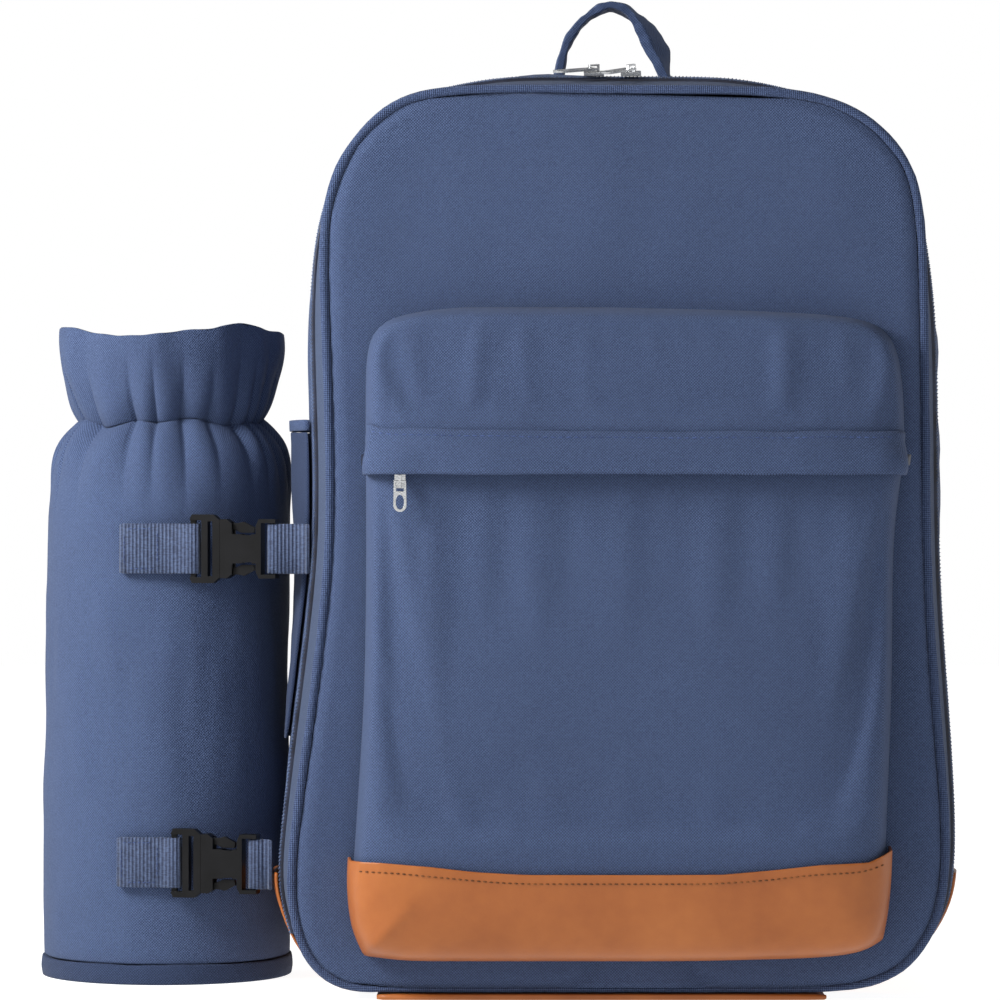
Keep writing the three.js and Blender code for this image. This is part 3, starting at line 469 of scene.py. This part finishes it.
def even_path(points, step, closed=True):
    ring = points + [points[0]] if closed else points
    smooth = []
    count = len(ring)
    for n in range(count - 1):
        before = ring[n - 1] if n else (points[-1] if closed else ring[0])
        after = ring[n + 2] if n + 2 < count else (points[1] if closed else ring[-1])
        a, b = ring[n], ring[n + 1]
        for k in range(8):
            t = k / 8
            smooth.append((before * (1 - t) ** 3 + a * (3 * t ** 3 - 6 * t ** 2 + 4)
                           + b * (1 + 3 * t + 3 * t ** 2 - 3 * t ** 3) + after * t ** 3) / 6)
    smooth.append(ring[-1])
    path, left = [smooth[0]], step
    for a, b in zip(smooth, smooth[1:]):
        length = (b - a).length
        while length >= left:
            a = a + (b - a) * (left / length)
            length -= left
            path.append(a.copy())
            left = step
        left -= length
    return path


def span_at(loop, z):
    crossed = []
    for a, b in zip(loop, loop[1:] + loop[:1]):
        if (a.z - z) * (b.z - z) <= 0 and a.z != b.z:
            crossed.append(a.x + (b.x - a.x) * (z - a.z) / (b.z - a.z))
    return min(crossed), max(crossed)


MIDDLE = (0, 0.19)
PANEL_BACK = -0.0731
OUTLINE_STEP = 3 * MM
INTO_PIPING = 0.9 * MM
panel_rim = rim_loop("front_panel", lambda p: p.y > PANEL_BACK, MIDDLE)
panel_fine = even_path(panel_rim, OUTLINE_STEP)
for point in panel_fine:
    point += (point - Vector((0, point.y, 0.2))).normalized() * INTO_PIPING
print("panel rim", len(panel_rim), "corners,", round(len(panel_fine) * 3), "mm round")

# %% [markdown]
# ## Front panel
# The panel is foam under cloth, sewn into the piping. A grid is fitted between the left and
# right edges of the outline, row by row, and the last few millimetres roll down into the
# groove. Its slack is pressed in as broad low swells.

# %% Front panel
PANEL_FACE = -0.0762
SEAM_DEPTH = 1.9 * MM
SEAM_WIDTH = 6 * MM


def edge_distance(points, x, z):
    return min(math.hypot(p.x - x, p.z - z) for p in points)


def panel_grid(loop, across, along, surface):
    low = min(p.z for p in loop)
    high = max(p.z for p in loop)
    bm = bmesh.new()
    bmesh.ops.create_grid(bm, x_segments=across, y_segments=along, size=1)
    for v in bm.verts:
        t = 0.5 - 0.5 * math.cos(math.pi * (v.co.y + 1) / 2)
        share = 0.35 * t + 0.65 * (v.co.y + 1) / 2
        z = low + (high - low) * (0.0005 + 0.999 * share)
        left, right = span_at(loop, z)
        s = math.sin(math.pi / 2 * v.co.x) * 0.3 + v.co.x * 0.7
        x = left + (right - left) * (s + 1) / 2
        v.co = Vector((x, surface(x, z), z))
    bmesh.ops.recalc_face_normals(bm, faces=bm.faces)
    if sum(f.normal.y for f in bm.faces) > 0:
        bmesh.ops.reverse_faces(bm, faces=bm.faces)
    return bm


def thicken(bm, depth):
    lining = bmesh.ops.extrude_face_region(bm, geom=bm.faces[:], use_keep_orig=True)["geom"]
    for v in lining:
        if isinstance(v, bmesh.types.BMVert):
            v.co.y += depth
    bmesh.ops.recalc_face_normals(bm, faces=bm.faces)


def panel_surface(x, z):
    edge = edge_distance(panel_fine, x, z)
    roll = SEAM_DEPTH * (1 - smooth_share(0, SEAM_WIDTH, edge)) ** 2
    p = Vector((x / 0.085, 4.0, z / 0.1))
    swell = (noise.noise(p) * 1.6 + noise.noise(p * 2.7) * 0.7) * MM * smooth_share(0, 0.03, edge)
    return PANEL_FACE + roll + 0.3 * MM + swell


panel_bm = panel_grid(panel_fine, 84, 112, panel_surface)
thicken(panel_bm, 2.2 * MM)
front_panel = add_piece(panel_bm, "soft_front_panel", blue_cloth, "blue_weave", "front_panel")
print("front panel", len(front_panel.data.polygons), "faces")

# %% [markdown]
# ## Piping
# A cord covered with cloth cut on the bias, so its weave runs at 45 degrees. The solid's six
# sides become a round tube by subdivision. The back panel, foam under cloth, is only softened.

# %% Piping and back panel
soft_piece("front_piping", piping_cloth, "piping_weave", 2, [(0.25 * MM, 0.012, (1, 1, 1), 2.0)], sharp=0)
soft_piece("back_piping", piping_cloth, "piping_weave", 2, sharp=0)
back_panel = soft_piece("back_panel", deep_cloth, "deep_blue_weave", 2)

# %% [markdown]
# ## Zip teeth
# A coil zip is two rows of small loops that lock together. Each tooth is one small rounded
# bar, set square to the chain and a little outwards, and all of them are one mesh.

# %% Zip chain
CHAIN_BACK = -0.0412
CHAIN_LINE = -0.043
CHAIN_END = 0.0255
TOOTH_PITCH = 1.7 * MM
ROW_SHIFT = 1.1 * MM
TOOTH = (1.15 * MM, 2.2 * MM, 1.5 * MM)


def bar_at(bm, place, along, up, size):
    side = along.cross(up).normalized()
    turn = Matrix((along, side, up)).transposed().to_4x4()
    pose = Matrix.Translation(place) @ turn @ Matrix.Diagonal((*size, 1))
    bmesh.ops.create_icosphere(bm, subdivisions=1, radius=0.5, matrix=pose)


chain_rim = rim_loop("zip_chain", lambda p: p.y > CHAIN_BACK, MIDDLE)
chain_open = [p for p in chain_rim if p.z > CHAIN_END]
start = max(range(len(chain_open)), key=lambda n: (chain_open[n] - chain_open[n - 1]).length)
chain_open = chain_open[start:] + chain_open[:start]
chain_path = even_path(chain_open, TOOTH_PITCH, closed=False)
chain_bm = refined(welded("zip_chain"), 2, sharp=0.9)
chain_tree = BVHTree.FromBMesh(chain_bm)
teeth_bm = bmesh.new()
teeth = 0
for n in range(1, len(chain_path) - 1):
    along = (chain_path[n + 1] - chain_path[n - 1]).normalized()
    out = Vector((along.z, 0, -along.x)).normalized()
    if out.dot(chain_path[n] - Vector((MIDDLE[0], 0, MIDDLE[1]))) < 0:
        out = -out
    for side in (-1, 1):
        above = Vector((chain_path[n].x, CHAIN_LINE + side * ROW_SHIFT, chain_path[n].z)) + out * 0.01
        hit = chain_tree.ray_cast(above, -out)[0]
        if hit:
            bar_at(teeth_bm, hit + along * side * 0.4 * MM, along, out, TOOTH)
            teeth += 1
add_piece(chain_bm, "soft_zip_chain", coil_plastic, "dark_coil", "zip_chain")
add_piece(teeth_bm, "zip_teeth", tooth_plastic, "dark_coil")
print("zip teeth", teeth)

# %% [markdown]
# ## Front pocket
# The pocket is loose cloth over its contents' room. Its grid starts on the solid's face, found
# by a ray from the front. Cloth simulation then lets it hang: the cloth is cut a little too
# large, held along its seams, the flap's seam and the leather, and falls into folds.

# %% Pocket cloth
POCKET_BACK = -0.0764
POCKET_FOOT = -0.0752
FLAP_SEAM = 0.2515
LEATHER_TOP = 0.073
FRAMES = 26
SPARE = 0.004
LONGEST_MOVE = 5 * MM


def face_finder(node):
    bm = refined(welded(node), 1)
    tree = BVHTree.FromBMesh(bm)
    bm.free()
    return tree


pocket_rim = rim_loop("pocket_shell", lambda p: p.y > POCKET_BACK, (0.004, 0.16))
pocket_fine = even_path(pocket_rim, OUTLINE_STEP)
pocket_tree = face_finder("pocket_shell")


def pocket_surface(x, z):
    hit = pocket_tree.ray_cast(Vector((x, -0.3, z)), Vector((0, 1, 0)))[0]
    return hit.y if hit and hit.y < POCKET_FOOT else POCKET_FOOT


def settle_cloth(piece, held, frames, spare, weight=1.0, push=0.0):
    group = piece.vertex_groups.new(name="held")
    for index, share in held.items():
        group.add([index], share, "REPLACE")
    cloth = piece.modifiers.new("cloth", "CLOTH")
    cloth.settings.vertex_group_mass = "held"
    cloth.settings.quality = 6
    cloth.settings.mass = 0.3
    cloth.settings.tension_stiffness = 25
    cloth.settings.compression_stiffness = 25
    cloth.settings.bending_stiffness = 8.0
    cloth.settings.air_damping = 3
    cloth.settings.shrink_min = -spare
    cloth.settings.shrink_max = -spare
    cloth.settings.effector_weights.gravity = weight
    if push:
        cloth.settings.use_pressure = True
        cloth.settings.uniform_pressure_force = push
    cloth.point_cache.frame_start = 1
    cloth.point_cache.frame_end = frames
    scene = bpy.context.scene
    for number in range(1, frames + 1):
        scene.frame_set(number)
    shape = bpy.context.evaluated_depsgraph_get()
    after = piece.evaluated_get(shape).to_mesh()
    moved = [v.co.copy() for v in after.vertices]
    piece.modifiers.remove(cloth)
    scene.frame_set(1)
    return moved


def pocket_cloth():
    bm = panel_grid(pocket_fine, 88, 104, pocket_surface)
    work = bpy.data.objects.new("work", bare_mesh(bm, "work"))
    bpy.context.scene.collection.objects.link(work)
    held = {}
    for v in work.data.vertices:
        rim = edge_distance(pocket_fine, v.co.x, v.co.z)
        seam = abs(v.co.z - FLAP_SEAM)
        if rim < 6 * MM or v.co.z < LEATHER_TOP or seam < 3 * MM:
            held[v.index] = 1.0
    moved = settle_cloth(work, held, FRAMES, SPARE, 0.6, 0.5)
    for v, place in zip(work.data.vertices, moved):
        move = place - v.co
        if move.length > LONGEST_MOVE:
            move *= LONGEST_MOVE / move.length
        v.co += move
    bm = bmesh.new()
    bm.from_mesh(work.data)
    bpy.data.objects.remove(work)
    for _ in range(2):
        bmesh.ops.smooth_vert(bm, verts=bm.verts, factor=0.4,
                              use_axis_x=True, use_axis_y=True, use_axis_z=True)
    thicken(bm, 1.4 * MM)
    return refined(bm, 1, quads=False)


pocket = add_piece(pocket_cloth(), "soft_pocket_shell", blue_cloth, "blue_weave", "pocket_shell")
print("pocket", len(pocket.data.polygons), "faces")

# %% [markdown]
# ## Flap, zip and leather
# A welt of the same cloth covers the pocket's zip and is caught at both ends, a little short
# of the pocket's sides. The leather round the pocket's foot is one sheet folded at its corners.
# On the left the fold shows as a slanting tuck, raised along its line with a shallow valley
# on each side of it.

# %% Flap, zip and leather of the pocket
POCKET_MIDDLE = 0.005
FLAP_SHARE = 0.974
TUCK_FOOT = Vector((-0.1125, 0, 0.0216))
TUCK_TOP = Vector((-0.0945, 0, 0.0425))
TUCK_RISE = 1.7 * MM
VALLEY_DEPTH = 0.9 * MM


def drawn_in(bm):
    for v in bm.verts:
        v.co.x = POCKET_MIDDLE + (v.co.x - POCKET_MIDDLE) * FLAP_SHARE


flap = soft_piece("pocket_flap", blue_cloth, "blue_weave", 2,
                  [(0.6 * MM, 0.02, (1, 1, 2), 7.0)], shape=drawn_in)
soft_piece("pocket_zip", coil_plastic, "dark_coil", 1)


def corner_tuck(bm):
    run = TUCK_TOP - TUCK_FOOT
    for v in bm.verts:
        if v.co.y < -0.08:
            p = Vector((v.co.x, 0, v.co.z)) - TUCK_FOOT
            share = min(1.0, max(0.0, p.dot(run) / run.length_squared))
            away = (p - run * share).length
            v.co.y -= TUCK_RISE * math.exp(-(away / 0.004) ** 2) * (1 - 0.6 * share)
            v.co.y += VALLEY_DEPTH * math.exp(-((away - 0.009) / 0.005) ** 2) * (1 - share)


soft_piece("pocket_trim", tan_leather, "tan_leather", 3, shape=corner_tuck)

# %% [markdown]
# ## Sliders and pullers
# Nickel castings. Each puller rides on its own body, so that it can swing.

# %% Sliders and pullers
for name in ("top_slider_left", "top_slider_right", "pocket_slider"):
    hard_piece(name, nickel, "nickel", 0.25 * MM)
for name, body in (("top_puller_left", "top_pull_left"), ("top_puller_right", "top_pull_right"),
                   ("pocket_puller", "pocket_pull")):
    hard_piece(name, nickel, "nickel", 0.2 * MM, body=body)

# %% [markdown]
# ## Handle, side pocket and back straps
# The grab handle is a folded strip of cloth, so it creases where it bends. The open pocket on
# the left side is one thin sheet with a bound edge. The back isn't seen from the front and is
# finished plainly: two foam pads, webbing through ladder locks, and sewn tabs.

# %% Handle, side pocket and back straps
soft_piece("grab_handle", deep_cloth, "deep_blue_weave", 3, [(1.0 * MM, 0.009, (1, 0.4, 1), 1.0)])
side_pocket = soft_piece("side_pocket", navy_cloth, "navy_weave", 2, [(1.0 * MM, 0.03, (1, 1, 1), 4.0)])
hem = soft_piece("side_pocket_hem", blue_cloth, "blue_weave", 2)
for side in ("left", "right"):
    pad = soft_piece("shoulder_pad_" + side, deep_cloth, "deep_blue_weave", 2, sharp=0.3)
    soft_piece("lower_web_" + side, back_web, "deep_blue_weave", 2)
    soft_piece("anchor_tab_" + side, blue_cloth, "blue_weave", 1)
    hard_piece("ladder_lock_" + side, black_plastic, "black_plastic", 0.5 * MM)

# %% [markdown]
# ## Bottle holder
# A padded tube with an elastic neck and a loose ruffle above it. The elastic draws the cloth
# into pleats: narrow creases that run down from the neck and die out in the shoulder. Each
# crease is pressed inwards by its own depth.

# %% Bottle holder
neck = Vector((-0.2075, 0.043, 0.2565))
strap_heights = (0.198, 0.056)


def gathers(depth, above, below, count, seed, sink=0.0):
    def shape(bm):
        bm.normal_update()
        for v in bm.verts:
            spread = Vector((v.co.x - neck.x, v.co.y - neck.y, 0))
            turn = math.atan2(spread.y, spread.x)
            wander = 1.1 * math.sin(2 * turn + seed) + 0.6 * math.sin(5 * turn + 2 * seed)
            beat = count / 2 * turn + wander
            own = 0.45 + 0.55 * abs(math.sin(1.7 * math.floor(beat / math.pi) + seed))
            crease = (1 - abs(math.sin(beat)) ** 0.7) * own
            rise = v.co.z - neck.z
            near = math.exp(-(rise / (above if rise > 0 else below)) ** 2)
            v.co -= spread.normalized() * depth * (crease - 0.25) * near
            v.co.z += near * ((1.3 * math.sin(4 * turn + seed) + 0.9 * math.sin(9 * turn)) * MM - sink)
    return shape


def clear_of_straps(p):
    from_straps = min(smooth_share(0.012, 0.03, abs(p.z - z)) for z in strap_heights)
    return from_straps * smooth_share(0.012, 0.03, p.z)


holder = soft_piece("holder_wall", blue_cloth, "blue_weave", 3,
                    [(1.6 * MM, 0.05, (1, 1, 0.7), 12.0, clear_of_straps),
                     (0.8 * MM, 0.018, (1, 1, 0.4), 5.0, clear_of_straps)],
                    shape=gathers(4.6 * MM, 0.02, 0.024, 22, 1.0), wrapped=neck)
collar = soft_piece("holder_collar", blue_cloth, "blue_weave", 3,
                    [(1.6 * MM, 0.022, (1, 1, 0.5), 8.0, lambda p: smooth_share(0.258, 0.28, p.z))],
                    shape=gathers(4.6 * MM, 0.02, 0.024, 22, 1.0, 0.9 * MM), wrapped=neck)
soft_piece("holder_base", deep_cloth, "deep_blue_weave", 1)
soft_piece("holder_binding", navy_cloth, "navy_weave", 2,
           [(0.5 * MM, 0.02, (1, 1, 0.4), 3.0, lambda p: smooth_share(0.001, 0.004, p.z))])

# %% [markdown]
# ## Straps and buckles
# Two webbing straps hold the bottle holder to the pack. Webbing keeps a thin square edge, so
# its edges are creased almost fully. The buckle halves are moulded, with small rounds.

# %% Straps and buckles
for strap in ("upper", "lower"):
    soft_piece(strap + "_strap_loop", side_web, "deep_blue_weave", 1, sharp=0.95)
    soft_piece(strap + "_strap_tail", side_web, "deep_blue_weave", 1, sharp=0.95)
    hard_piece(strap + "_buckle_male", black_plastic, "black_plastic", 0.5 * MM)
    hard_piece(strap + "_buckle_female", black_plastic, "black_plastic", 0.6 * MM)

# %% [markdown]
# ## Stitching
# Seams are held by rows of lock stitches, each a short slanting thread half sunk in the cloth.
# A row is laid out in the front view and dropped on the finished piece, so it follows every
# fold, and all the stitches of a row are one mesh.

# %% Rows of stitches
def tree_of(name):
    bm = bmesh.new()
    bm.from_mesh(bpy.data.objects[name].data)
    tree = BVHTree.FromBMesh(bm)
    bm.free()
    return tree


def dropped(tree, x, z, side=-1):
    return tree.ray_cast(Vector((x, 0.3 * side, z)), Vector((0, -side, 0)))[:2]


def upper_edge(tree, x, low, high, below):
    z = high
    while z > low and dropped(tree, x, z)[0] is None:
        z -= 0.3 * MM
    return z - below


def stitch_rows(name, tree, rows, material, slot, pitch=3.4 * MM, thread=0.62 * MM, side=-1):
    bm = bmesh.new()
    for row in rows:
        path = even_path([Vector((x, 0, z)) for x, z in row], pitch, closed=False)
        for n in range(len(path) - 1):
            a, normal = dropped(tree, path[n].x, path[n].z, side)
            b = dropped(tree, path[n + 1].x, path[n + 1].z, side)[0]
            if a and b and (b - a).length < 1.6 * pitch:
                along = (b - a).normalized()
                up = (normal - along * normal.dot(along)).normalized()
                bar_at(bm, (a + b) / 2 + up * thread * 0.22, along, up, (pitch * 0.74, thread, thread))
    stitches = add_piece(bm, name, material, slot)
    print(name, len(stitches.data.polygons), "faces")


def seam_row(tree, left, low, high, below, width=0.231, count=24):
    across = [left + width * n / count for n in range(count + 1)]
    return [(x, upper_edge(tree, x, low, high, below)) for x in across]


def square(left, foot, right, top):
    corners = [(left, foot), (right, foot), (right, top), (left, top), (left, foot)]
    return [[corners[n], corners[n + 1]] for n in range(4)]


flap_tree = tree_of("soft_pocket_flap")
stitch_rows("flap_stitches", flap_tree, [seam_row(flap_tree, -0.112, 0.24, 0.262, 2.6 * MM)],
            blue_thread, "deep_blue_weave")
trim_tree = tree_of("soft_pocket_trim")
stitch_rows("trim_stitches", trim_tree, [seam_row(trim_tree, -0.117, 0.05, 0.075, 3.8 * MM)],
            tan_thread, "tan_leather", 2.7 * MM, 0.8 * MM)
BOX_HALF = 0.009
BOX_RIGHT = -0.2088
for strap, z in zip(("upper", "lower"), strap_heights):
    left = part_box(strap + "_strap_loop")[0].x + 2.4 * MM
    stitch_rows(strap + "_box_stitches", tree_of("soft_" + strap + "_strap_loop"),
                square(left, z - BOX_HALF, BOX_RIGHT, z + BOX_HALF),
                blue_thread, "deep_blue_weave", 2.2 * MM, 0.5 * MM)

# %% [markdown]
# The shoulder pads are quilted shut by a row along each edge, and each sewn tab on the back
# is closed by a square of stitches.

# %% Stitches on the back
def pad_rows(name, inset):
    mesh = bpy.data.objects[name].data
    rows = [[], []]
    for n in range(24):
        z = 0.185 + 0.19 * n / 23
        level = [v.co.x for v in mesh.vertices if abs(v.co.z - z) < 5 * MM]
        rows[0].append((min(level) + inset, z))
        rows[1].append((max(level) - inset, z))
    return rows


for side in ("left", "right"):
    pad_name, tab_name = "soft_shoulder_pad_" + side, "soft_anchor_tab_" + side
    stitch_rows("pad_stitches_" + side, tree_of(pad_name), pad_rows(pad_name, 5 * MM),
                blue_thread, "deep_blue_weave", 4 * MM, 0.7 * MM, side=1)
    low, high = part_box("anchor_tab_" + side)
    inset = 2.5 * MM
    stitch_rows("tab_stitches_" + side, tree_of(tab_name),
                square(low.x + inset, low.z + inset, high.x - inset, high.z - inset),
                blue_thread, "blue_weave", 3 * MM, 0.6 * MM, side=1)

# %% [markdown]
# ## Sizes
# The box round the finished pieces, leaving out the floor, is printed.

# %% Sizes
low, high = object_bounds()
print("visual box", [round(v, 4) for v in high - low])
